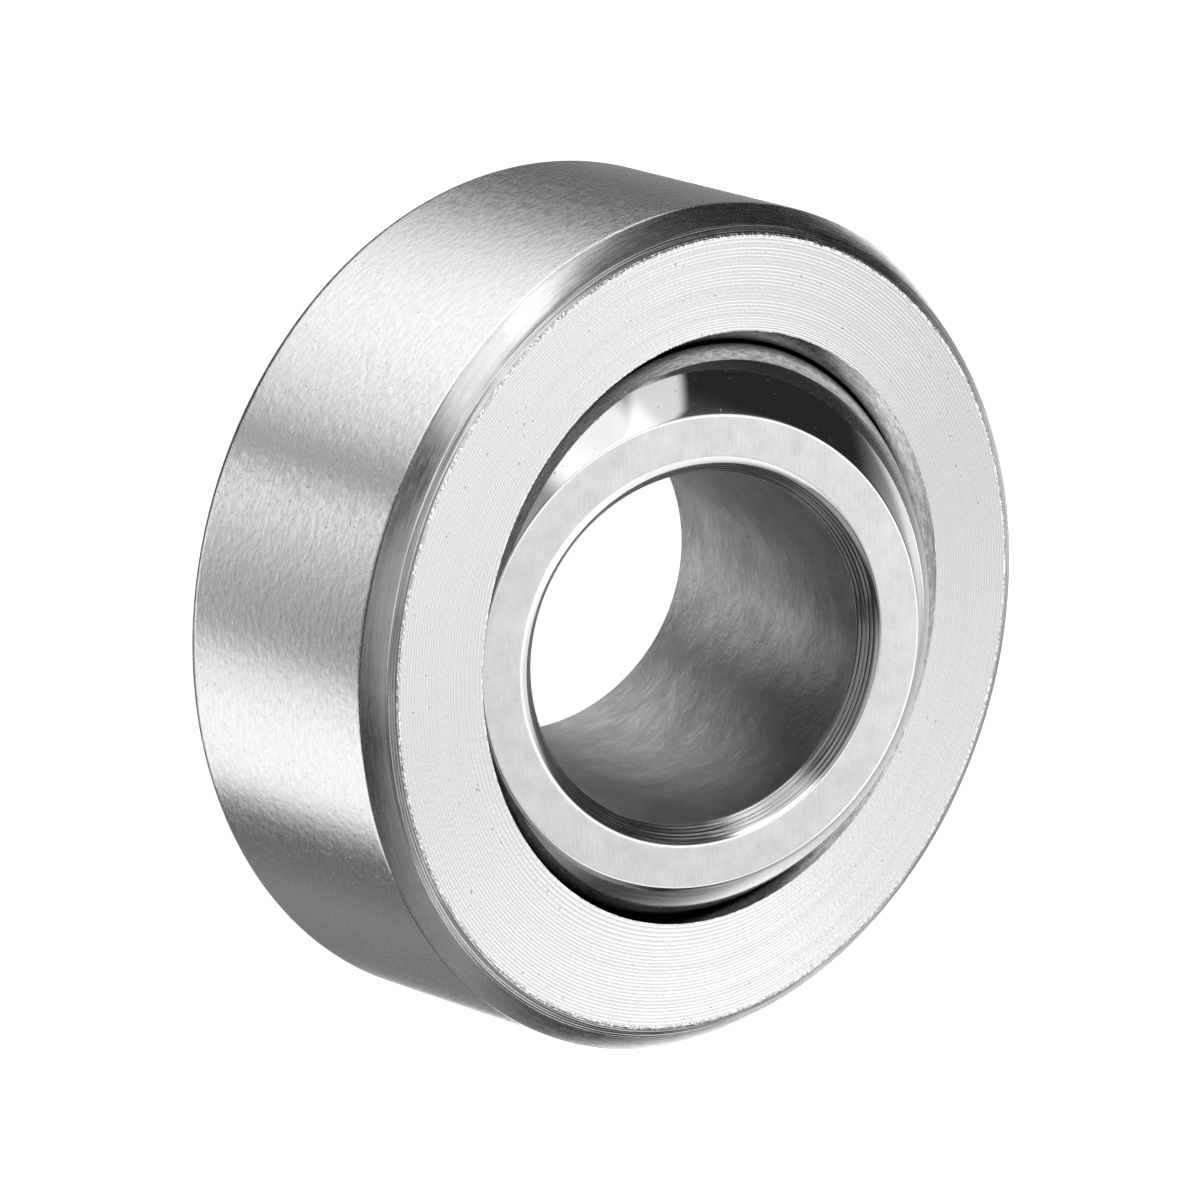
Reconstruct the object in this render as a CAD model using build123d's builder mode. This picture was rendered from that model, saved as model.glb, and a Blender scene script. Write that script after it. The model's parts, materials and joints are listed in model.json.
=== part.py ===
from build123d import *
import math
import os

# Spherical plain bearing: an outer ring closed in one piece round a ball-shaped inner ring.
# All sizes are in millimetres. The origin is the centre of the ball, and +Z runs along the
# bore of the inner ring. The outer ring is tilted on the ball about the X axis.

# Inner ring
bore_diameter = 7.938
inner_width = 9.525
end_face_width = 0.957
bore_chamfer_width = 0.39
bore_chamfer_length = 0.44
rim_round = 0.10
bore_edge_round = 0.12

# Outer ring. The widths of its corner cuts are radial, and their lengths run along its axis.
outer_diameter = 19.05
outer_width = 6.85
running_clearance = 0.04
mouth_width = 0.155
mouth_length = 0.385
bevel_width = 0.30
bevel_length = 0.33
facet_width = 0.33
facet_length = 0.22

# Angle of the outer ring on the ball, in degrees
ring_tilt = 15.25

# Each ring is turned from a section drawn in a plane that holds its own axis.
inner_section = Plane.XZ
inner_axis = Axis.Z
outer_section = Plane.XZ.rotated((ring_tilt, 0, 0))
outer_axis = Axis(outer_section.origin, outer_section.y_dir)

os.makedirs("parts", exist_ok=True)


# Inner ring: a ball cut flat at both ends and bored through. The bore, its chamfer and the
# width of the end face give the rim of each flat, and the ball is the sphere through both rims.
bore_radius = bore_diameter / 2
bore_edge_radius = bore_radius + bore_chamfer_width
flat_radius = bore_edge_radius + end_face_width
inner_half = inner_width / 2
bore_half = inner_half - bore_chamfer_length
ball_radius = math.hypot(flat_radius, inner_half)

with BuildPart() as inner_ring:
    with BuildSketch(inner_section) as inner_profile:
        with BuildLine():
            ThreePointArc((flat_radius, -inner_half), (ball_radius, 0), (flat_radius, inner_half))
            end_face = Polyline(
                (flat_radius, inner_half),
                (bore_edge_radius, inner_half),
                (bore_radius, bore_half),
            )
            mirror(end_face, about=Plane.XZ)
            Line((bore_radius, bore_half), (bore_radius, -bore_half))
        make_face()
        rims = inner_profile.vertices().group_by(Axis.X)[-1]
        fillet(rims, rim_round)
        bore_edges = inner_profile.vertices().group_by(Axis.X)[1]
        fillet(bore_edges, bore_edge_round)
    revolve(axis=inner_axis)
inner_ring.part.label = "inner_ring"


# Outer ring: the race is the ball's sphere with the running clearance added. Each mouth is a
# short flare from the end of the race to the face. Outside, a bevel and a flatter facet take
# the corner off.
race_radius = ball_radius + running_clearance
outer_radius = outer_diameter / 2
outer_half = outer_width / 2
race_half = outer_half - mouth_length
race_end_radius = math.sqrt(race_radius**2 - race_half**2)
bevel_start = outer_half - facet_length - bevel_length

with BuildPart() as outer_ring:
    with BuildSketch(outer_section):
        with BuildLine():
            ThreePointArc((race_end_radius, -race_half), (race_radius, 0), (race_end_radius, race_half))
            end_face = Polyline(
                (race_end_radius, race_half),
                (race_end_radius + mouth_width, outer_half),
                (outer_radius - bevel_width - facet_width, outer_half),
                (outer_radius - bevel_width, outer_half - facet_length),
                (outer_radius, bevel_start),
            )
            mirror(end_face, about=Plane.XZ)
            Line((outer_radius, bevel_start), (outer_radius, -bevel_start))
        make_face()
    revolve(axis=outer_axis)
outer_ring.part.label = "outer_ring"


# Angles from the ball's equator to the end of the race and to the rim of the ball's flat. The
# ring may tilt by their difference before the rim passes into the race.
race_end_angle = math.degrees(math.atan2(race_half, race_end_radius))
rim_angle = math.degrees(math.atan2(inner_half, flat_radius))
print(f"ball diameter {2 * ball_radius:.3f} mm")
print(f"full race contact up to {rim_angle - race_end_angle:.2f} degrees of tilt")

export_step(inner_ring.part, "parts/inner_ring.step")
export_step(outer_ring.part, "parts/outer_ring.step")
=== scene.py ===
# %% [markdown]
# # A spherical plain bearing in turned steel
# The part is two rings. The outer ring is closed in one piece round a ball, and the ball is bored
# through for a shaft. The CAD model gives both rings at their real size, as a fixed frame that
# this file never moves. What Blender adds is the finish: the lines that the lathe left, the ground
# wall, the polished ball, and the studio that all of this steel mirrors.

# %% Load the frame
import json
import math
import random

import bmesh
import bpy
from mathutils import Matrix, Vector


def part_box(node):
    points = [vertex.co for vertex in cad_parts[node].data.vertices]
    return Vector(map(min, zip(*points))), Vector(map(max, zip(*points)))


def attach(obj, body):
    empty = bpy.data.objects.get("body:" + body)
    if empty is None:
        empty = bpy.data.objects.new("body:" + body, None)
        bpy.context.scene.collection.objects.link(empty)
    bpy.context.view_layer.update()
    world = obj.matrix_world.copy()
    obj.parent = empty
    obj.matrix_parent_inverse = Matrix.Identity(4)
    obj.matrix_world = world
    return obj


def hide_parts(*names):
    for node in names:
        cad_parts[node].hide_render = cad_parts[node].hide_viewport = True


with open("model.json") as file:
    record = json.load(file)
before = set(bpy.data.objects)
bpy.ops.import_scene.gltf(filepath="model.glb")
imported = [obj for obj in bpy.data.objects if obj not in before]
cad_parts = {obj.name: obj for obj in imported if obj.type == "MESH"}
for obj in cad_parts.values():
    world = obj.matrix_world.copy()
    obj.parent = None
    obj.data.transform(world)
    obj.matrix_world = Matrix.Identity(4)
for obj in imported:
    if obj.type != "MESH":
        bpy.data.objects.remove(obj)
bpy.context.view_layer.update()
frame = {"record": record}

# %% [markdown]
# ## The sizes that the frame gives
# Every length below is in metres, because Blender and the frame are. Each ring's radius and width
# are read from the frame's boxes and mounts, so the two models can't drift apart. The mount of the
# housing seat also says how far the outer ring is tilted on the ball. Typing the same numbers
# again would be quicker, but then a change in the CAD model would leave this file behind.

# %% Read the rings' main sizes
mm = 0.001
mounts = {m["name"]: m for m in frame["record"]["mounts"]}
seat_axis = Vector(mounts["housing_seat"]["axis"])
ring_tilt = math.atan2(-seat_axis.y, seat_axis.z)

outer_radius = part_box("outer_ring")[1].x
outer_half = seat_axis @ Vector(mounts["outer_face_front"]["pos_m"])
ball_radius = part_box("inner_ring")[1].x
inner_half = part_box("inner_ring")[1].z
bore_radius = mounts["shaft_bore"]["dims"]["r_mm"] * mm
print(f"outer ring {2 * outer_radius / mm:.2f} mm across and {2 * outer_half / mm:.2f} mm wide")
print(f"ball {2 * ball_radius / mm:.2f} mm across and {2 * inner_half / mm:.2f} mm wide")
print(f"bore {2 * bore_radius / mm:.2f} mm, tilt {math.degrees(ring_tilt):.2f} degrees")

# %% [markdown]
# ## Where the camera stands
# The photograph is taken with a long lens from about 0.2 m, so parallel edges hardly converge. A
# camera can be aimed with a tracking constraint, or by giving the directions in which it looks and
# holds its head up. The directions are used here, because the bearing isn't upright in its own
# frame: the bore's axis is Z, and the photograph shows the ring standing on its rim.

# %% Camera
camera_distance = 217.096 * mm
look = Vector((-0.23991, -0.42335, -0.87362)).normalized()
head_up = Vector((0.97062, -0.08747, -0.22416))
to_right = look.cross(head_up).normalized()
to_top = to_right.cross(look)
aim_right, aim_up = -0.177 * mm, 0.0805 * mm
aim = aim_right * to_right + aim_up * to_top

camera_data = bpy.data.cameras.new("camera")
camera_data.sensor_width = 36
camera_data.lens = 292.77
camera_data.clip_start = 0.01
camera_data.clip_end = 10
camera = bpy.data.objects.new("camera", camera_data)
axes = Matrix((to_right, to_top, -look)).transposed()
camera.matrix_world = Matrix.Translation(aim - camera_distance * look) @ axes.to_4x4()
bpy.context.scene.collection.objects.link(camera)
bpy.context.scene.camera = camera
print("camera at", [round(c, 4) for c in camera.location])

# %% [markdown]
# ## How a ring is turned
# A lathe makes a ring by holding a cutting edge still while the work spins. The same idea works in
# Blender: half of the ring's section is drawn as a string of points, and a full spin about the
# axis turns it into a closed ring. A plain cylinder with boolean cuts could give the same outline,
# but it couldn't carry the fine grooves, and booleans leave long thin triangles that shade badly.
# The section is drawn with X as the radius and Z as the height, from the inside to the outside. A
# flat run has a point near each end, which holds it flat up to the corner that is rounded there. A
# crowned run bulges a little on its way, as a band does that was polished after it was cut.

# %% Draw a section point by point
def start_section(radius, height):
    section = bmesh.new()
    section.verts.layers.float.new("along")
    return section, section.verts.new((radius, 0, height))


def line_to(section, tip, radius, height):
    tip = bmesh.ops.extrude_vert_indiv(section, verts=[tip])["verts"][0]
    tip.co = (radius, 0, height)
    return tip


def flat_run(section, tip, radius, height, hold):
    start, end = tip.co.copy(), Vector((radius, 0, height))
    share = hold / (end - start).length
    for place in (share, 1 - share, 1):
        point = start.lerp(end, place)
        tip = line_to(section, tip, point.x, point.z)
    return tip


def crowned_run(section, tip, radius, height, rise, steps):
    start, end = tip.co.copy(), Vector((radius, 0, height))
    along = (end - start).normalized()
    outward = Vector((-along.z, 0, along.x))
    for k in range(1, steps + 1):
        share = k / steps
        bulge = 4 * rise * share * (1 - share)
        point = start.lerp(end, share) + bulge * outward
        tip = line_to(section, tip, point.x, point.z)
    return tip


def arc_about_centre(section, tip, angle, steps):
    arc = bmesh.ops.spin(
        section, geom=[tip], cent=(0, 0, 0), axis=(0, -1, 0), angle=angle, steps=steps,
        use_merge=False, use_duplicate=False,
    )
    return next(g for g in arc["geom_last"] if isinstance(g, bmesh.types.BMVert))


# %% [markdown]
# ## Tool marks
# When a tool faces a ring, it moves on by a small feed at each turn and leaves one shallow groove
# per turn. In the photograph these grooves are the fine rings on the wide outer face. A bump map
# would show them too, but the shape itself would stay smooth. Here each groove is three real
# points of the section, and the middle one varies a little in depth and in place, because a real
# tool chatters.

# %% Cut a run of grooves
depth_range, lean_range = (0.7, 1.2), (-0.08, 0.08)
groove_half = 0.32


def turned_run(section, tip, radius, height, feed, depth, chatter, margins=(0, 0)):
    start, end = tip.co.copy(), Vector((radius, 0, height))
    along = (end - start).normalized()
    into_metal = Vector((along.z, 0, -along.x))
    cut_length = (end - start).length - sum(margins)
    grooves = round(cut_length / feed)
    pitch = cut_length / grooves
    for k in range(grooves):
        middle = start + (margins[0] + (k + 0.5) * pitch) * along
        cut = depth * chatter.uniform(*depth_range)
        lean = chatter.uniform(*lean_range)
        for shift, down in ((-groove_half, 0), (lean, cut), (groove_half, 0)):
            point = middle + shift * pitch * along + down * into_metal
            tip = line_to(section, tip, point.x, point.z)
    return line_to(section, tip, radius, height)


# %% [markdown]
# ## The other half, and rounded corners
# Both rings are the same at either end, so the drawn half is mirrored. No machined corner is
# perfectly sharp, and the tiny round on each is what catches the light as a bright line. A corner
# of the section is rounded before the spin, which costs a few points instead of a whole bevelled
# edge loop. Each corner is found again by its radius and height. Last, every point is told how far
# along the closed section it lies, which the finishes need later.

# %% Close the section and round its corners
weld_distance = 1e-7


def mirror_section(section):
    bmesh.ops.mirror(
        section, geom=section.verts[:] + section.edges[:], matrix=Matrix.Identity(4),
        merge_dist=weld_distance, axis="Z",
    )


def round_corner(section, radius, height, setback, segments=3):
    place = Vector((radius, 0, height))
    corner = min(section.verts, key=lambda v: (v.co - place).length)
    bmesh.ops.bevel(
        section, geom=[corner], offset=setback, offset_type="OFFSET", segments=segments,
        profile=0.5, affect="VERTICES", material=-1,
    )


def measure_section(section, radius):
    along = section.verts.layers.float["along"]
    first = min(section.verts, key=lambda v: (v.co - Vector((radius, 0, 0))).length)
    point, edge, length = first, first.link_edges[0], 0.0
    while point is not first or length == 0:
        point[along] = length
        length += edge.calc_length()
        point = edge.other_vert(point)
        edge = next(e for e in point.link_edges if e is not edge)
    print(f"way round the section: {length / mm:.2f} mm")


# %% [markdown]
# ## From the section to the ring
# The section is spun in one degree steps. At this size a one degree step leaves the rim within
# half a micrometre of a true circle. One full spin would do, but it grows slow with so many
# points, so an eighth is spun and then doubled three times.

# %% Spin a section into a closed ring
spin_steps = 360


def spin_ring(section):
    eighth = math.pi / 4
    bmesh.ops.spin(
        section, geom=section.verts[:] + section.edges[:], cent=(0, 0, 0), axis=(0, 0, 1),
        angle=eighth, steps=spin_steps // 8, use_merge=False, use_duplicate=False,
    )
    for angle in (eighth, 2 * eighth, 4 * eighth):
        whole = section.verts[:] + section.edges[:] + section.faces[:]
        copy = bmesh.ops.duplicate(section, geom=whole)["geom"]
        bmesh.ops.rotate(
            section, verts=[g for g in copy if isinstance(g, bmesh.types.BMVert)],
            cent=(0, 0, 0), matrix=Matrix.Rotation(angle, 3, "Z"),
        )
    bmesh.ops.remove_doubles(section, verts=section.verts[:], dist=weld_distance)
    bmesh.ops.recalc_face_normals(section, faces=section.faces[:])


# %% [markdown]
# ## Zones, sharp edges and the unrolled map
# A ring has a few finishes: the ground wall isn't the turned face. Each band of faces gets its
# material by its radius and height, which is simpler than naming the bands while drawing. Grooves
# are so shallow that smooth shading would iron them out, so on turned bands every small angle is
# kept sharp, and elsewhere only real corners are. The ring also gets a UV map of its own, with U
# round the ring and V across its section, because brushed steel needs to know where its scratches
# run.

# %% Mark a ring's bands
turned_crease, plain_crease = math.radians(4), math.radians(20)
ring_map = "round_and_across"


def mark_bands(ring, band_of, turned_bands):
    for face in ring.faces:
        face.smooth = True
        middle = face.calc_center_median()
        face.material_index = band_of(middle.xy.length, middle.z)
    for edge in ring.edges:
        turned = all(f.material_index in turned_bands for f in edge.link_faces)
        edge.smooth = edge.calc_face_angle() < (turned_crease if turned else plain_crease)


def unroll(ring):
    along = ring.verts.layers.float["along"]
    uv = ring.loops.layers.uv.new(ring_map)
    for face in ring.faces:
        middle = face.calc_center_median().xy
        base = math.atan2(middle.y, middle.x)
        for loop in face.loops:
            angle = base - middle.angle_signed(loop.vert.co.xy)
            loop[uv].uv = (angle * outer_radius / mm, loop.vert[along] / mm)


def section_to_ring(section, start_radius, band_of, turned_bands):
    measure_section(section, start_radius)
    spin_ring(section)
    unroll(section)
    mark_bands(section, band_of, turned_bands)
    bands = {face.material_index for face in section.faces}
    print(f"{len(section.faces)} faces in {len(bands)} bands")


def ring_object(ring, name):
    mesh = bpy.data.meshes.new(name)
    ring.to_mesh(mesh)
    ring.free()
    piece = bpy.data.objects.new(name, mesh)
    bpy.context.scene.collection.objects.link(piece)
    print(f"{name}: {2 * len(mesh.polygons)} triangles")
    return piece


# %% [markdown]
# ## Outer ring
# The real ring is bored, squeezed round the ball until its inside is a sphere, and then ground on
# the outside and faced on both sides. From the inside out its section is the race, a short flare
# at the mouth, the wide turned face, a flat facet, a steeper crowned bevel and the ground wall.
# Turning leaves a hair of a burr at the face's outer edge, so the face lies a few micrometres
# below it. The flare rolls over to the face in two steps, so its lip can catch the light. The
# points could be typed in as finished pairs of numbers, but they are worked out from the lengths
# of the bands, so a band can be widened without moving every point after it by hand.

# %% Draw the outer ring's section
running_gap, race_steps = 0.04 * mm, 12
mouth_length, mouth_width = 0.385 * mm, 0.155 * mm
roll_width, roll_length, lip_width = 0.03 * mm, 0.075 * mm, 0.02 * mm
burr_height, burr_width = 0.006 * mm, 0.04 * mm
lip_drop = 0.3 * burr_height
face_feed, face_cut = 0.078 * mm, 0.0022 * mm
facet_length, facet_width = 0.14 * mm, 0.25 * mm
facet_feed, facet_cut = 0.06 * mm, 0.003 * mm
bevel_length, bevel_width = 0.42 * mm, 0.38 * mm
bevel_crown, bevel_steps = 0.011 * mm, 5
wall_hold = 0.11 * mm

race_radius = ball_radius + running_gap
race_half = outer_half - mouth_length
race_end = math.sqrt(race_radius**2 - race_half**2)
mouth_edge = race_end + mouth_width
facet_start = outer_radius - bevel_width - facet_width
facet_end = outer_radius - bevel_width
facet_drop = outer_half - facet_length
bevel_start = outer_half - facet_length - bevel_length

lathe = random.Random(11)
section, tip = start_section(race_radius, 0)
tip = arc_about_centre(section, tip, math.atan2(race_half, race_end), race_steps)
tip = line_to(section, tip, mouth_edge - roll_width, outer_half - roll_length)
tip = line_to(section, tip, mouth_edge, outer_half - lip_drop)
tip = line_to(section, tip, mouth_edge + lip_width, outer_half - burr_height)
tip = turned_run(
    section, tip, facet_start - burr_width, outer_half - burr_height, face_feed, face_cut, lathe,
)
tip = line_to(section, tip, facet_start, outer_half)
tip = turned_run(section, tip, facet_end, facet_drop, facet_feed, facet_cut, lathe)
tip = crowned_run(section, tip, outer_radius, bevel_start, bevel_crown, bevel_steps)
flat_run(section, tip, outer_radius, 0, wall_hold)
mirror_section(section)

# %% [markdown]
# ## The outer ring's corners
# Each corner has a round of its own. The two turned corners are nearly sharp, and the race's end
# is worn a little. The wall's rear corner gets the largest round, because the photograph has a
# dark line along the rear outline, where the metal already turns away from the lights. One round
# for all would be less to type, but it would either blur the facet or lose that line.

# %% Round the outer ring's corners
race_round, burr_round, facet_round = 0.02 * mm, 0.008 * mm, 0.006 * mm
front_round, rear_round = 0.03 * mm, 0.09 * mm
for end in (1, -1):
    round_corner(section, race_end, end * race_half, race_round)
    round_corner(section, facet_start, end * outer_half, burr_round)
    round_corner(section, facet_end, end * facet_drop, facet_round)
round_corner(section, outer_radius, bevel_start, front_round)
round_corner(section, outer_radius, -bevel_start, rear_round)
print(f"section of the outer ring: {len(section.verts)} points")

# %% [markdown]
# ## Bands of the outer ring
# Six finishes meet on this ring. Both sides of the face's outer corner belong to one narrow band,
# since the burr there shines as a line of its own. A band could be picked by its exact radius, but
# grooves and rounds lie a little off it, so a few small lengths say how far a band reaches.

# %% Spin the outer ring and mark its bands
WALL, BEVEL, FACET, FACE, RACE, BURR = range(6)
burr_reach, burr_depth = 0.035 * mm, 0.05 * mm
wall_skin, face_skin = 0.02 * mm, 0.03 * mm


def outer_band(radius, height):
    height = abs(height)
    if abs(radius - facet_start) < burr_reach and height > outer_half - burr_depth:
        return BURR
    if mouth_edge < radius < mouth_edge + lip_width:
        return BURR
    if radius > outer_radius - wall_skin and height < bevel_start:
        return WALL
    if radius > facet_end:
        return BEVEL
    if radius > facet_start:
        return FACET
    if height > outer_half - face_skin:
        return FACE
    return RACE


section_to_ring(section, race_radius, outer_band, (BEVEL, FACET, FACE))

# %% [markdown]
# ## A mouth that is out of true
# On the camera's side the flare isn't the same width all the way round: it is wide at the upper
# right and almost gone at the lower left, because the ring was closed a little out of true. The
# points of the mouth's edge are moved sideways, and the move dies out over the first grooves. The
# burrs are made uneven too, with a small seeded random push towards the middle on each point.

# %% Shift the mouth's edge and roughen the burrs
mouth_shift = Vector((0.092, -0.1155, 0)) * mm
fade_length = 0.45 * mm
burr_push = 0.006 * mm
for point in section.verts:
    radius = point.co.xy.length
    if point.co.z > race_half and radius < mouth_edge + fade_length:
        if radius < mouth_edge:
            share = (point.co.z - race_half) / mouth_length
        else:
            share = 1 - (radius - mouth_edge) / fade_length
        point.co += share * mouth_shift
    burred = [f.material_index == BURR for f in point.link_faces]
    if all(burred) or any(burred) and radius < facet_start:
        point.co *= 1 - lathe.uniform(0, burr_push) / radius
print(f"mouth moved {mouth_shift.length / mm:.3f} mm to one side")

# %% [markdown]
# ## Tilt the outer ring
# The ring was drawn square to the Z axis, but the CAD model holds it tilted on the ball, as in the
# photograph. Turning the object would tilt it as well. The points are turned instead, because the
# frame wants each piece to stay unturned at the origin, where its body carries it.

# %% Tilt the ring and name its place in the frame
tilt_turn = Matrix.Rotation(ring_tilt, 3, "X")
bmesh.ops.rotate(section, verts=section.verts[:], cent=(0, 0, 0), matrix=tilt_turn)
outer = ring_object(section, "outer_ring_turned")
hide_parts("outer_ring")
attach(outer, "outer_ring")

# %% [markdown]
# ## Inner ring
# The inner ring is the ball itself: a sphere with both ends ground flat, bored for the shaft. Its
# section runs from the bore over a turned chamfer, a shallow polished lead and the narrow end face
# to the ball. The rim and the bore's edge are tumbled round, and the chamfer keeps a few coarse
# tool marks. A ready-made sphere could be cut with two planes and a cylinder, but its faces would
# run to two poles that aren't there, and the cuts would leave no neat edge to round.

# %% Draw the inner ring's section
chamfer_width, chamfer_length = 0.39 * mm, 0.36 * mm
chamfer_feed, chamfer_cut = 0.09 * mm, 0.006 * mm
chamfer_margins = (0.04 * mm, 0.02 * mm)
lead_width, lead_length = 0.11 * mm, 0.062 * mm
bore_round, lead_round, edge_round, rim_round = 0.03 * mm, 0.01 * mm, 0.04 * mm, 0.045 * mm
edge_segments, ball_steps = 5, 24
bore_hold, end_hold = 0.05 * mm, edge_round + 0.03 * mm

bore_half = inner_half - chamfer_length
bore_edge = bore_radius + chamfer_width
lead_start, lead_drop = bore_edge - lead_width, inner_half - lead_length
flat_radius = math.sqrt(ball_radius**2 - inner_half**2)

section, tip = start_section(bore_radius, 0)
tip = flat_run(section, tip, bore_radius, bore_half, bore_hold)
tip = turned_run(
    section, tip, lead_start, lead_drop, chamfer_feed, chamfer_cut, lathe, chamfer_margins,
)
tip = line_to(section, tip, bore_edge, inner_half)
tip = flat_run(section, tip, flat_radius, inner_half, end_hold)
arc_about_centre(section, tip, -math.atan2(inner_half, flat_radius), ball_steps)
mirror_section(section)
for end in (1, -1):
    round_corner(section, bore_radius, end * bore_half, bore_round)
    round_corner(section, lead_start, end * lead_drop, lead_round)
    round_corner(section, bore_edge, end * inner_half, edge_round, edge_segments)
    round_corner(section, flat_radius, end * inner_half, rim_round, edge_segments)
print(f"section of the inner ring: {len(section.verts)} points")

# %% [markdown]
# ## Bands of the inner ring
# The inner ring is sorted into five finishes in the same way. The bore and the end face are plain,
# so a hair's breadth is enough to tell them from their neighbours. What is left between the end
# face and the ball is the tumbled edge. Only the chamfer has tool marks to keep sharp.

# %% Spin the inner ring and mark its bands
BORE, CHAMFER, END_FACE, BALL, EDGE = range(5)
bore_skin, end_skin = 0.005 * mm, 0.0005 * mm


def inner_band(radius, height):
    depth = inner_half - abs(height)
    if radius < bore_radius + bore_skin:
        return BORE
    if radius < lead_start:
        return CHAMFER
    if depth < end_skin:
        return END_FACE
    if radius < bore_edge + edge_round or depth < rim_round:
        return EDGE
    return BALL


section_to_ring(section, ball_radius, inner_band, (CHAMFER,))

# %% [markdown]
# ## A chamfer that is out of true
# On the camera's side the polished lead is wider on one side of the bore than on the other,
# because the chamfering tool stood a little off the bore's axis. The line where chamfer and lead
# meet is moved sideways, and the move dies out towards both edges, which stay true circles. A
# second, shifted ring would have to be joined on, so moving the points is simpler.

# %% Shift the lead and name the ring's place in the frame
lead_shift = Vector((-0.035, -0.042, 0)) * mm
for point in section.verts:
    radius = point.co.xy.length
    if point.co.z > bore_half and radius < bore_edge:
        to_edge = (bore_edge - radius) / lead_width
        to_bore = (radius - bore_radius) / (lead_start - bore_radius)
        point.co += min(to_edge, to_bore) * lead_shift
print(f"lead moved {lead_shift.length / mm:.3f} mm to one side")

inner = ring_object(section, "ball_ring_ground")
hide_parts("inner_ring")
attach(inner, "inner_ring")

# %% [markdown]
# ## How the steel is shaded
# Bare steel is a metal with a plain grey colour, and nearly all that the eye sees is the studio in
# it. What sets one band off from another is how each was cut: polish gives a low roughness, and
# grinding gives fine scratches and a blur across them. The finishes could be painted as pictures,
# but patterns that are worked out from a point's place stay sharp at any distance. A noise pattern
# lies mostly between 0.3 and 0.7, and the helper spread stretches that part, or any other part
# from start to end, over the range from low to high.

# %% Helpers for finishes
steel_tint = (1, 0.998, 1.02)


def add(tree, kind, **settings):
    node = tree.nodes.new(kind)
    for setting, value in settings.items():
        setattr(node, setting, value)
    return node


def steel(name, grey, roughness):
    material = bpy.data.materials.new(name)
    material.use_nodes = True
    shader = material.node_tree.nodes["Principled BSDF"]
    shader.inputs["Base Color"].default_value = (*(grey * part for part in steel_tint), 1)
    shader.inputs["Metallic"].default_value = 1
    shader.inputs["Roughness"].default_value = roughness
    return material, material.node_tree, shader


def object_place(tree):
    return add(tree, "ShaderNodeTexCoord").outputs["Object"]


def parts_of(tree, vector):
    parts = add(tree, "ShaderNodeSeparateXYZ")
    tree.links.new(vector, parts.inputs[0])
    return parts.outputs


def noise(tree, vector, scale=1.0, detail=2.0, roughness=0.5):
    texture = add(tree, "ShaderNodeTexNoise")
    texture.inputs["Scale"].default_value = scale
    texture.inputs["Detail"].default_value = detail
    texture.inputs["Roughness"].default_value = roughness
    tree.links.new(vector, texture.inputs["Vector"])
    return texture.outputs["Fac"]


def spread(tree, value, low, high, start=0.3, end=0.7):
    ranged = add(tree, "ShaderNodeMapRange")
    ranged.inputs["From Min"].default_value = start
    ranged.inputs["From Max"].default_value = end
    ranged.inputs["To Min"].default_value = low
    ranged.inputs["To Max"].default_value = high
    tree.links.new(value, ranged.inputs["Value"])
    return ranged.outputs["Result"]


def times(tree, one, other):
    product = add(tree, "ShaderNodeMath", operation="MULTIPLY")
    tree.links.new(one, product.inputs[0])
    tree.links.new(other, product.inputs[1])
    return product.outputs[0]


def bump(tree, height, depth, under=None):
    relief = add(tree, "ShaderNodeBump")
    relief.inputs["Distance"].default_value = depth
    tree.links.new(height, relief.inputs["Height"])
    if under is not None:
        tree.links.new(under, relief.inputs["Normal"])
    return relief.outputs["Normal"]


# %% [markdown]
# ## Coordinates that follow a ring
# Scratches run round the ring, so their pattern is stretched in that direction. The direction round
# the ring comes from the point's place, turned upright first, and the distance across from the
# ring's own UV map. A pattern on the unrolled map alone would show a seam where the map closes.
# Brushed steel also blurs what it mirrors across its scratches, and the same map tells it how they
# run.

# %% Round and across
quarter_turn = 0.25


def upright_place(tree, tilt):
    upright = add(tree, "ShaderNodeMapping")
    upright.inputs["Rotation"].default_value = (-tilt, 0, 0)
    tree.links.new(object_place(tree), upright.inputs["Vector"])
    return upright.outputs["Vector"]


def ring_coordinates(tree, tilt, stretch, fine):
    flatten = add(tree, "ShaderNodeVectorMath", operation="MULTIPLY")
    flatten.inputs[1].default_value = (1, 1, 0)
    direction = add(tree, "ShaderNodeVectorMath", operation="NORMALIZE")
    unrolled = add(tree, "ShaderNodeUVMap", uv_map=ring_map)
    finer = add(tree, "ShaderNodeMath", operation="MULTIPLY")
    finer.inputs[1].default_value = fine
    lift = add(tree, "ShaderNodeCombineXYZ")
    joined = add(tree, "ShaderNodeVectorMath", operation="MULTIPLY_ADD")
    joined.inputs[1].default_value = (stretch, stretch, 0)
    tree.links.new(upright_place(tree, tilt), flatten.inputs[0])
    tree.links.new(flatten.outputs[0], direction.inputs[0])
    tree.links.new(parts_of(tree, unrolled.outputs["UV"])["Y"], finer.inputs[0])
    tree.links.new(finer.outputs[0], lift.inputs["Z"])
    tree.links.new(direction.outputs[0], joined.inputs[0])
    tree.links.new(lift.outputs[0], joined.inputs[2])
    return joined.outputs[0]


def brushed(tree, shader, amount):
    tangent = add(tree, "ShaderNodeTangent", direction_type="UV_MAP", uv_map=ring_map)
    shader.inputs["Anisotropic"].default_value = amount
    shader.inputs["Anisotropic Rotation"].default_value = quarter_turn
    tree.links.new(tangent.outputs["Tangent"], shader.inputs["Tangent"])


# %% [markdown]
# ## Ground wall
# The outside is ground to size for its housing and has a satin look in the photograph: short
# scratches follow the grinding, a faint peened mottle lies under them, and a few specks sparkle.
# One noise could stand for all three, but they differ in size and direction, so three shallow
# reliefs are laid over each other. The specks are the highest peaks of a very fine noise.

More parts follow.
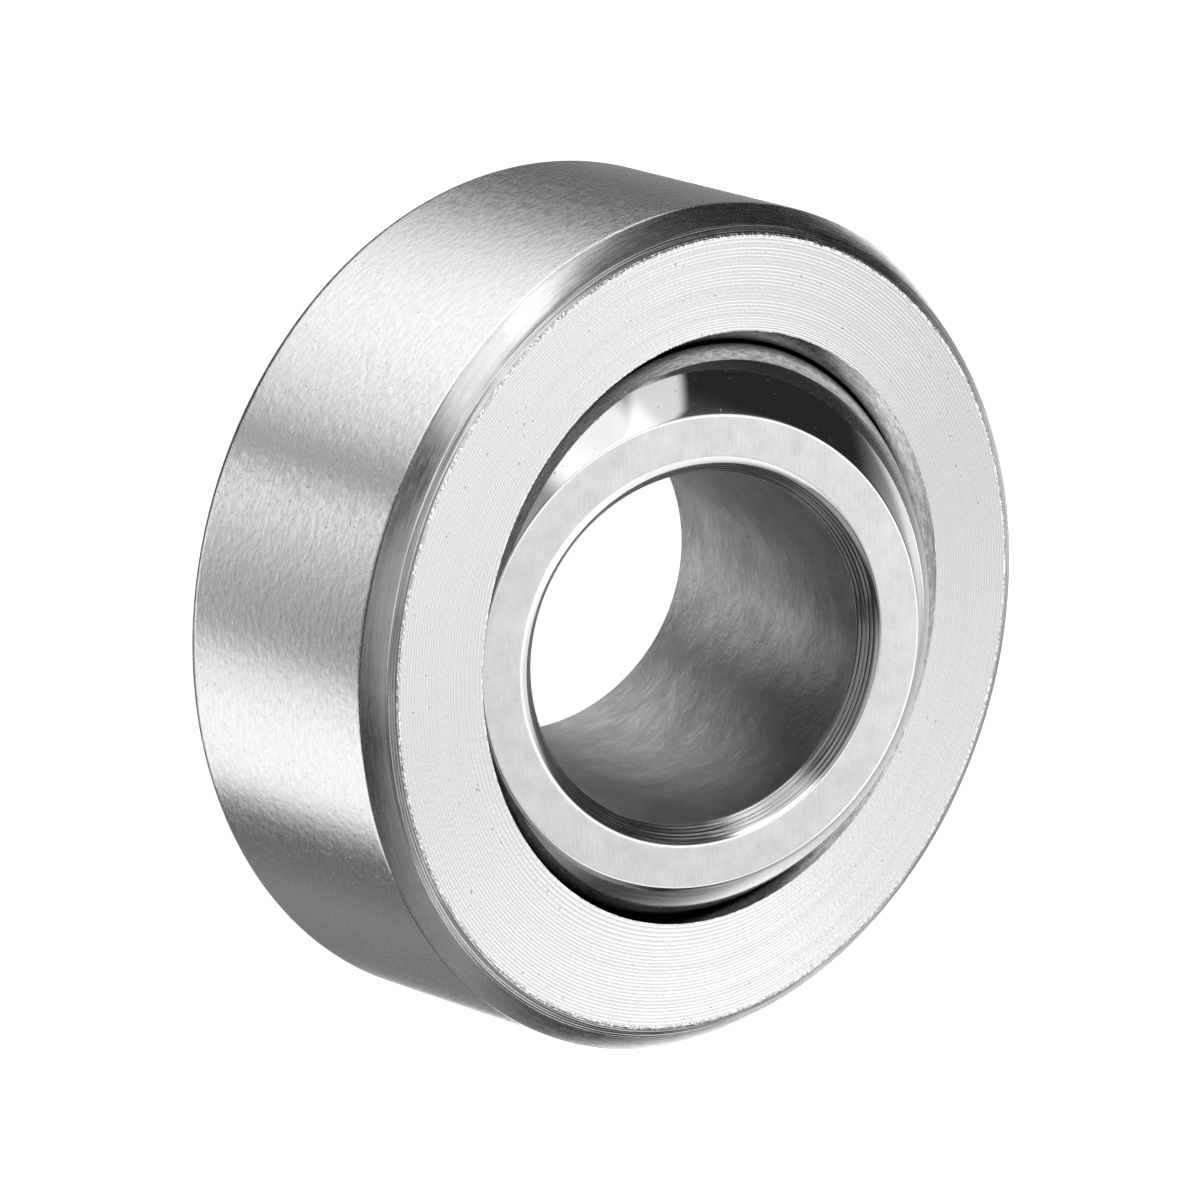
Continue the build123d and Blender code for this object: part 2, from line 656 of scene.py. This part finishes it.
# %% Ground wall
wall, tree, shader = steel("ground_wall", grey=0.7, roughness=0.26)
place = object_place(tree)
scratches = noise(tree, ring_coordinates(tree, ring_tilt, stretch=45, fine=14))
mottle = noise(tree, place, scale=5500)
peaks = noise(tree, place, scale=12000, detail=1)
specks = spread(tree, peaks, low=0, high=1, start=0.68, end=0.8)
relief = bump(tree, scratches, depth=0.0013 * mm)
relief = bump(tree, mottle, depth=0.004 * mm, under=relief)
relief = bump(tree, specks, depth=0.003 * mm, under=relief)
tree.links.new(relief, shader.inputs["Normal"])
tree.links.new(spread(tree, scratches, low=0.22, high=0.3), shader.inputs["Roughness"])
brushed(tree, shader, amount=0.6)

# %% [markdown]
# ## Corner cuts
# Bevel and facet were turned and are smoother than the wall. Both show rings that the tool left,
# and both are lighter on the ring's -Y side, the facet more so: that is painted light in their
# colour. Deeper grooves could make the rings, but on bands this narrow they also tip the light of
# the whole band. So the rings are painted light and shade in the steel's own grey, in place of the
# grooves' glint, and one function makes both finishes with shades of their own.

# %% Corner cuts
# how far the painted side light reaches across the ring
painted_side_reach = 6 * mm


def corner_cut(name, painted_ring_shades, painted_side_light):
    material, tree, shader = steel(name, grey=0.72, roughness=0.2)
    place = object_place(tree)
    streaks = noise(tree, ring_coordinates(tree, ring_tilt, stretch=20, fine=20), detail=3)
    tree.links.new(bump(tree, streaks, depth=0.002 * mm), shader.inputs["Normal"])
    tree.links.new(spread(tree, streaks, low=0.2, high=0.3), shader.inputs["Roughness"])
    blotches = noise(tree, place, scale=1300, detail=5, roughness=0.65)
    rings = noise(tree, ring_coordinates(tree, ring_tilt, stretch=2, fine=18), detail=1)
    blotched = spread(tree, blotches, low=0.9, high=1.08)
    # the rings are painted light and shade, in place of the glint of real grooves
    shade = times(tree, blotched, spread(tree, rings, *painted_ring_shades))
    # painted light: the colour is lighter towards the ring's -Y side
    side = spread(tree, parts_of(tree, place)["Y"], *painted_side_light, -painted_side_reach, painted_side_reach)
    tree.links.new(times(tree, shade, side), shader.inputs["Base Color"])
    brushed(tree, shader, amount=0.45)
    return material


# bevel and facet, each with its painted ring shades and painted side light
bevel = corner_cut("bevel_cut", painted_ring_shades=(0.68, 0.76, 0.4, 0.6), painted_side_light=(1, 0.94))
facet = corner_cut("facet_cut", painted_ring_shades=(0.36, 0.86, 0.42, 0.54), painted_side_light=(1.16, 0.78))

# %% [markdown]
# ## Turned face
# The rings of the wide face are real grooves of its section, so they need no pattern. A lathe tool
# also tears the steel a little, which shows as a fine grain and a few dark pits. The pits are the
# rare peaks of a noise, darkened where it passes a limit. Small dents would do as well, but at
# this size nobody could tell a dent from a dark spot.

# %% Turned face
face, tree, shader = steel("turned_face", grey=0.73, roughness=0.2)
place = object_place(tree)
grain = noise(tree, place, scale=12000)
tree.links.new(bump(tree, grain, depth=0.003 * mm), shader.inputs["Normal"])
pits = noise(tree, place, scale=9000, detail=0)
pitted = spread(tree, pits, low=0.73, high=0.4, start=0.8, end=0.87)
tree.links.new(pitted, shader.inputs["Base Color"])
brushed(tree, shader, amount=0.6)

# %% [markdown]
# ## Race and mouth
# The race was squeezed against the ball and is streaky. Hardly any light reaches into the gap: in
# the photograph the flare gets darker the deeper it goes, and it is lighter on the ring's -Y side.
# Light alone should do that, but the real gap is narrower, so it is painted into the colour: a
# painted shade darkens the steel with its depth in the gap, and painted light lightens it towards
# the ring's -Y side.

# %% Race and mouth
# the flare's painted side light runs between these two places
flare_depth, painted_flare_side_from, painted_flare_side_to = 0.18 * mm, -4 * mm, 3 * mm

race, tree, shader = steel("race_and_mouth", grey=0.36, roughness=0.15)
streaks = noise(
    tree, ring_coordinates(tree, ring_tilt, stretch=25, fine=20), detail=4, roughness=0.7,
)
tree.links.new(bump(tree, streaks, depth=0.005 * mm), shader.inputs["Normal"])
upright = parts_of(tree, upright_place(tree, ring_tilt))
height = add(tree, "ShaderNodeMath", operation="ABSOLUTE")
tree.links.new(upright["Z"], height.inputs[0])
# painted shade: the flare's colour darkens with its depth into the gap
painted_flare_shade = spread(tree, height.outputs[0], 0.05, 1, race_half, race_half + flare_depth)
# painted light: the flare's colour is lighter towards -Y
painted_flare_side = spread(tree, upright["Y"], 0.65, 0.18, painted_flare_side_from, painted_flare_side_to)
shade = times(tree, times(tree, painted_flare_shade, painted_flare_side), spread(tree, streaks, low=0.5, high=1.3))
tree.links.new(shade, shader.inputs["Base Color"])

# %% [markdown]
# ## Burred edges
# Where the tool runs off the face it leaves a hair of a burr, which glints as a thin beaded line.
# Each bead could be a lump of its own, but a rough steel with a coarse bump gives the same dots
# of light without a single point more. The dots are also painted glints in the colour, and the
# steel is painted lighter than the wall's as a painted highlight. All six finishes are then given
# to the ring, in the order in which its bands are numbered.

# %% Burred edges
burr, tree, shader = steel("burred_edge_with_painted_glint", grey=0.92, roughness=0.3)
beads = noise(tree, object_place(tree), scale=12000, detail=1)
# painted glints: the beads are light and dark dots in the colour, over a lighter steel
painted_bead_glint = spread(tree, beads, low=0.6, high=1, start=0.45, end=0.55)
tree.links.new(painted_bead_glint, shader.inputs["Base Color"])
bead_height = spread(tree, beads, low=0, high=1, start=0.4, end=0.65)
tree.links.new(bump(tree, bead_height, depth=0.008 * mm), shader.inputs["Normal"])

for material in (wall, bevel, facet, face, race, burr):
    outer.data.materials.append(material)
print("finishes of the outer ring:", [m.name for m in outer.data.materials])

# %% [markdown]
# ## Honed bore
# The bore is honed for the shaft and looks dull: soft cloudy patches lie over faint rings. Its
# colour is also darker towards +Z and lighter towards -Z, as painted shade and painted light. A
# rough metal alone would still flare up where it is seen at a slant, as most of the bore is, so
# the specular tint dims it there. The patches are both a shade and a shallow relief, which keeps
# them from looking painted on.

# %% Honed bore
slant_tint, painted_bore_reach = 0.5, 4 * mm

bore, tree, shader = steel("honed_bore", grey=0.48, roughness=0.36)
shader.inputs["Specular Tint"].default_value = (slant_tint, slant_tint, slant_tint, 1)
place = object_place(tree)
streaks = noise(tree, ring_coordinates(tree, 0, stretch=25, fine=11), detail=3, roughness=0.6)
patches = noise(tree, place, scale=1100, detail=6, roughness=0.7)
relief = bump(tree, streaks, depth=0.004 * mm)
relief = bump(tree, patches, depth=0.03 * mm, under=relief)
tree.links.new(relief, shader.inputs["Normal"])
# painted shade and light: the bore's colour is darker towards +Z, lighter towards -Z
painted_bore_shade = spread(tree, parts_of(tree, place)["Z"], 1.5, 0.76, -painted_bore_reach, painted_bore_reach)
shade = times(tree, spread(tree, patches, low=0.4, high=0.56), painted_bore_shade)
tree.links.new(shade, shader.inputs["Base Color"])
brushed(tree, shader, amount=0.3)

# %% [markdown]
# ## Turned chamfer
# The chamfer's coarse tool marks are in its section, so its finish can be plain: a darker steel
# than the end face's, faint streaks round the ring, and a strong blur across them. Without the
# streaks each groove would be a perfect ring of light, which looks drawn.

# %% Turned chamfer
chamfer, tree, shader = steel("turned_chamfer", grey=0.46, roughness=0.16)
streaks = noise(tree, ring_coordinates(tree, 0, stretch=6, fine=20), detail=3)
tree.links.new(bump(tree, streaks, depth=0.0006 * mm), shader.inputs["Normal"])
brushed(tree, shader, amount=0.5)

# %% [markdown]
# ## Ground end face
# The ball's flats are ground in straight passes, so their scratches run one way and not round the
# bore. A picture of scratches would blur from close by. The object's own coordinates are enough: a
# noise that is scaled far more along Y than along X comes out as short lines along X. A second,
# coarser noise gives the faint blotches that the coolant left.

# %% Ground end face
lay_scale = (2500, 16000, 1)

end_face, tree, shader = steel("ground_end_face", grey=0.7, roughness=0.28)
place = object_place(tree)
lay = add(tree, "ShaderNodeMapping")
lay.inputs["Scale"].default_value = lay_scale
tree.links.new(place, lay.inputs["Vector"])
passes = noise(tree, lay.outputs["Vector"], detail=3)
tree.links.new(bump(tree, passes, depth=0.0014 * mm), shader.inputs["Normal"])
blotches = noise(tree, place, scale=2200, detail=4, roughness=0.6)
tree.links.new(spread(tree, blotches, low=0.64, high=0.76), shader.inputs["Base Color"])
tree.links.new(spread(tree, passes, low=0.22, high=0.34), shader.inputs["Roughness"])

# %% [markdown]
# ## Polished ball
# The ball is polished like a mirror, so it shows the mouth round it. A perfect mirror would be the
# simplest finish, but it looks false: on the real ball a faint haze drifts over the polish, and a
# few tiny specks break it. Both are noises that the eye hardly finds.

# %% Polished ball
ball, tree, shader = steel("polished_ball", grey=0.72, roughness=0.05)
place = object_place(tree)
haze = noise(tree, place, scale=700, detail=3)
peaks = noise(tree, place, scale=9000, detail=0)
specks = spread(tree, peaks, low=0, high=1, start=0.82, end=0.86)
tree.links.new(spread(tree, haze, low=0.03, high=0.06), shader.inputs["Roughness"])
tree.links.new(bump(tree, specks, depth=0.003 * mm), shader.inputs["Normal"])

# %% [markdown]
# ## Tumbled edges
# Tumbling with stones leaves the ball's rim and the bore's edge round and bright. Their round is
# in the section already, and it is so narrow that it only shows as a line of light. A pattern
# would be lost on it, so the finish is one plain steel, painted lighter than the rest as a
# painted highlight on that line.

# %% Tumbled edges
# painted highlight: a lighter grey than the other steel brightens the edge's line of light
edge = steel("tumbled_edge_with_painted_highlight", grey=0.92, roughness=0.15)[0]

for material in (bore, chamfer, end_face, ball, edge):
    inner.data.materials.append(material)
print("finishes of the inner ring:", [m.name for m in inner.data.materials])

# %% [markdown]
# ## Floor and background
# The photograph has a plain white background with next to no shadow. The floor is a wide pale
# plane just below the lowest point that the ring reaches when it tilts. It glows a little, so that
# it stays white, and its plain white part still takes the bearing's soft shadow. The metal doesn't
# mirror the floor, because in the studio the bearing hung free in front of the lights.

# %% Floor and white world
largest_tilt = math.radians(16.5)
corner_angle = math.atan2(outer_half, facet_start)
lowest = -math.hypot(facet_start, outer_half) * math.sin(largest_tilt + corner_angle)
floor_reach, floor_gap = 0.5, 0.02 * mm
sheet = bmesh.new()
bmesh.ops.create_grid(sheet, x_segments=1, y_segments=1, size=floor_reach)
bmesh.ops.translate(sheet, verts=sheet.verts[:], vec=(0, 0, lowest - floor_gap))
floor_mesh = bpy.data.meshes.new("floor")
sheet.to_mesh(floor_mesh)
sheet.free()
floor = bpy.data.objects.new("floor", floor_mesh)
bpy.context.scene.collection.objects.link(floor)
floor.visible_glossy = False
floor.visible_shadow = False

pale = bpy.data.materials.new("pale_floor")
pale.use_nodes = True
shader = pale.node_tree.nodes["Principled BSDF"]
shader.inputs["Base Color"].default_value = (0.85, 0.85, 0.85, 1)
shader.inputs["Roughness"].default_value = 0.9
shader.inputs["Specular IOR Level"].default_value = 0
shader.inputs["Emission Color"].default_value = (1, 1, 1, 1)
shader.inputs["Emission Strength"].default_value = 0.8
floor_mesh.materials.append(pale)

world = bpy.data.worlds.new("white_background")
bpy.context.scene.world = world
world.use_nodes = True
world.node_tree.nodes["Background"].inputs["Color"].default_value = (1, 1, 1, 1)
world.node_tree.nodes["Background"].inputs["Strength"].default_value = 1
bpy.context.scene.view_settings.view_transform = "Standard"
print(f"floor at {lowest / mm:.2f} mm")

# %% [markdown]
# ## The studio's dark room
# Steel has no look of its own, so the likeness comes from what stands round it. Most of that was a
# dark room, which is a large ball here with the bearing in its middle. A grey world would be less
# work, but the world has to stay white behind the bearing. So the room is hidden from the camera
# and only seen in the steel.

# %% Dark room
room_level, room_radius = 0.026, 3


def stage_object(name, shape):
    mesh = bpy.data.meshes.new(name)
    shape.to_mesh(mesh)
    shape.free()
    thing = bpy.data.objects.new(name, mesh)
    bpy.context.scene.collection.objects.link(thing)
    thing.visible_camera = False
    return thing


def glow(name, level):
    material = bpy.data.materials.new(name)
    material.use_nodes = True
    material.cycles.emission_sampling = "NONE"
    tree = material.node_tree
    tree.nodes.clear()
    light = add(tree, "ShaderNodeEmission")
    light.inputs["Strength"].default_value = level
    output = add(tree, "ShaderNodeOutputMaterial")
    tree.links.new(light.outputs[0], output.inputs["Surface"])
    return material, tree, light, output


dome = bmesh.new()
bmesh.ops.create_icosphere(dome, subdivisions=3, radius=room_radius)
room = stage_object("dark_room", dome)
room.data.materials.append(glow("dark_room", room_level)[0])
print(f"room of level {room_level}, {room_radius} m in radius")

# %% [markdown]
# ## Soft panels
# The photographer had a soft box overhead, bright walls to the right and behind, and a few soft
# panels to the left. Each is a flat sheet that adds an even glow to what is behind it and fades
# out at its edges. Area lamps would do as well, but their edges in a mirror are always hard. The
# sheets face the bearing from 1 m away, and they are hidden from the camera like the room.

# %% A panel with soft edges
def seen_at(right, up):
    right, up = math.radians(right), math.radians(up)
    ahead = math.cos(right) * math.cos(up)
    return math.sin(right) * math.cos(up) * to_right + math.sin(up) * to_top - ahead * look


def fade_out(tree, value, half, soft):
    away = add(tree, "ShaderNodeMath", operation="ABSOLUTE")
    tree.links.new(value, away.inputs[0])
    fade = add(tree, "ShaderNodeMapRange", interpolation_type="SMOOTHSTEP")
    fade.inputs["From Min"].default_value = half - soft / 2
    fade.inputs["From Max"].default_value = half + soft / 2
    fade.inputs["To Min"].default_value = 1
    fade.inputs["To Max"].default_value = 0
    tree.links.new(away.outputs[0], fade.inputs["Value"])
    return fade.outputs["Result"]


def soft_panel(name, centre, roll, half_size, level, soft):
    out = seen_at(*centre)
    side = to_top.cross(out).normalized()
    turn = Matrix((side, out.cross(side), out)).transposed().to_4x4()
    sheet = bmesh.new()
    bmesh.ops.create_grid(sheet, x_segments=1, y_segments=1, size=1)
    reach = [half + edge / 2 for half, edge in zip(half_size, soft)]
    bmesh.ops.scale(sheet, verts=sheet.verts[:], vec=(*reach, 1))
    panel = stage_object(name, sheet)
    panel.matrix_world = (
        Matrix.Translation(out) @ turn @ Matrix.Rotation(math.radians(roll), 4, "Z")
    )
    material, tree, light, output = glow(name, level)
    parts = parts_of(tree, object_place(tree))
    across = fade_out(tree, parts["X"], half_size[0], soft[0])
    upward = fade_out(tree, parts["Y"], half_size[1], soft[1])
    strength = add(tree, "ShaderNodeMath", operation="MULTIPLY")
    strength.inputs[1].default_value = level
    tree.links.new(times(tree, across, upward), strength.inputs[0])
    tree.links.new(strength.outputs[0], light.inputs["Strength"])
    through = add(tree, "ShaderNodeBsdfTransparent")
    total = add(tree, "ShaderNodeAddShader")
    tree.links.new(light.outputs[0], total.inputs[0])
    tree.links.new(through.outputs[0], total.inputs[1])
    tree.links.new(total.outputs[0], output.inputs["Surface"])
    panel.data.materials.append(material)


# %% [markdown]
# ## Hang the panels
# Each panel is placed by the direction in which it is seen from the bearing: degrees to the right
# of the camera, and degrees up. Positions in the room would do too, but a direction can be read
# straight off the highlights in the photograph. A first set was placed one by one. A separate
# program then fitted the directions, sizes and levels, to bring each band of steel near its
# brightness in the photograph. The figures below are its results, rounded, but three were changed.
# Some panels thus overlap, and several together stand for one large soft wall.

# %% Hang the panels
# name, direction (right, up), roll, half size at 1 m, level, soft edges
panels = (
    ("overhead_box", (-7.3, 57.7), 42.8, (0.32, 0.82), 1.18, (0.26, 0.03)),
    ("overhead_right", (37.4, 65.9), 60.8, (0.48, 0.13), 0.89, (0.10, 0.07)),
    ("overhead_far", (60.7, 57.2), 38.7, (0.16, 0.51), 0.08, (0.39, 0.06)),
    ("right_front", (46.1, 0.6), -42.8, (0.68, 0.59), 0.58, (0.49, 0.32)),
    ("right_middle", (82.1, -15.7), -14.5, (0.61, 0.30), 0.81, (0.45, 0.28)),
    ("right_low", (77.1, -44.9), 34.7, (0.50, 0.28), 1.00, (0.08, 0.20)),
    ("back_wall", (146.7, -14.6), -4.0, (0.59, 0.58), 0.51, (0.05, 0.52)),
    ("back_wall_edge", (153.2, 13.4), -30.0, (0.12, 0.27), 0.55, (0.19, 0.40)),
    ("back_high", (156.4, 18.6), 21.2, (0.13, 0.28), 1.69, (0.02, 0.21)),
    ("back_strip", (175.4, -24.6), 12.3, (0.20, 0.49), 1.65, (0.02, 0.44)),
    ("left_high", (-119.2, 60.3), -31.2, (0.76, 0.24), 1.71, (0.07, 0.02)),
    ("left_middle", (-105.9, 8.4), 58.7, (0.32, 0.14), 1.72, (0.15, 0.14)),
    ("left_low", (-100.9, -31.0), -46.9, (0.47, 0.26), 1.49, (0.33, 0.02)),
    ("rear_grey", (-170.0, -4.2), 31.5, (0.18, 2.13), 0.31, (0.67, 0.27)),
    ("front_grey", (21.7, -5.0), -70.9, (0.36, 0.83), 0.44, (0.06, 0.27)),
    ("front_left_grey", (-29.6, 11.9), -12.9, (0.18, 0.93), 0.37, (0.25, 0.89)),
    ("low_grey", (-6.5, -77.4), -12.6, (0.23, 1.14), 0.31, (0.34, 0.19)),
)
for panel in panels:
    soft_panel(*panel)
print(f"{len(panels)} panels hung")
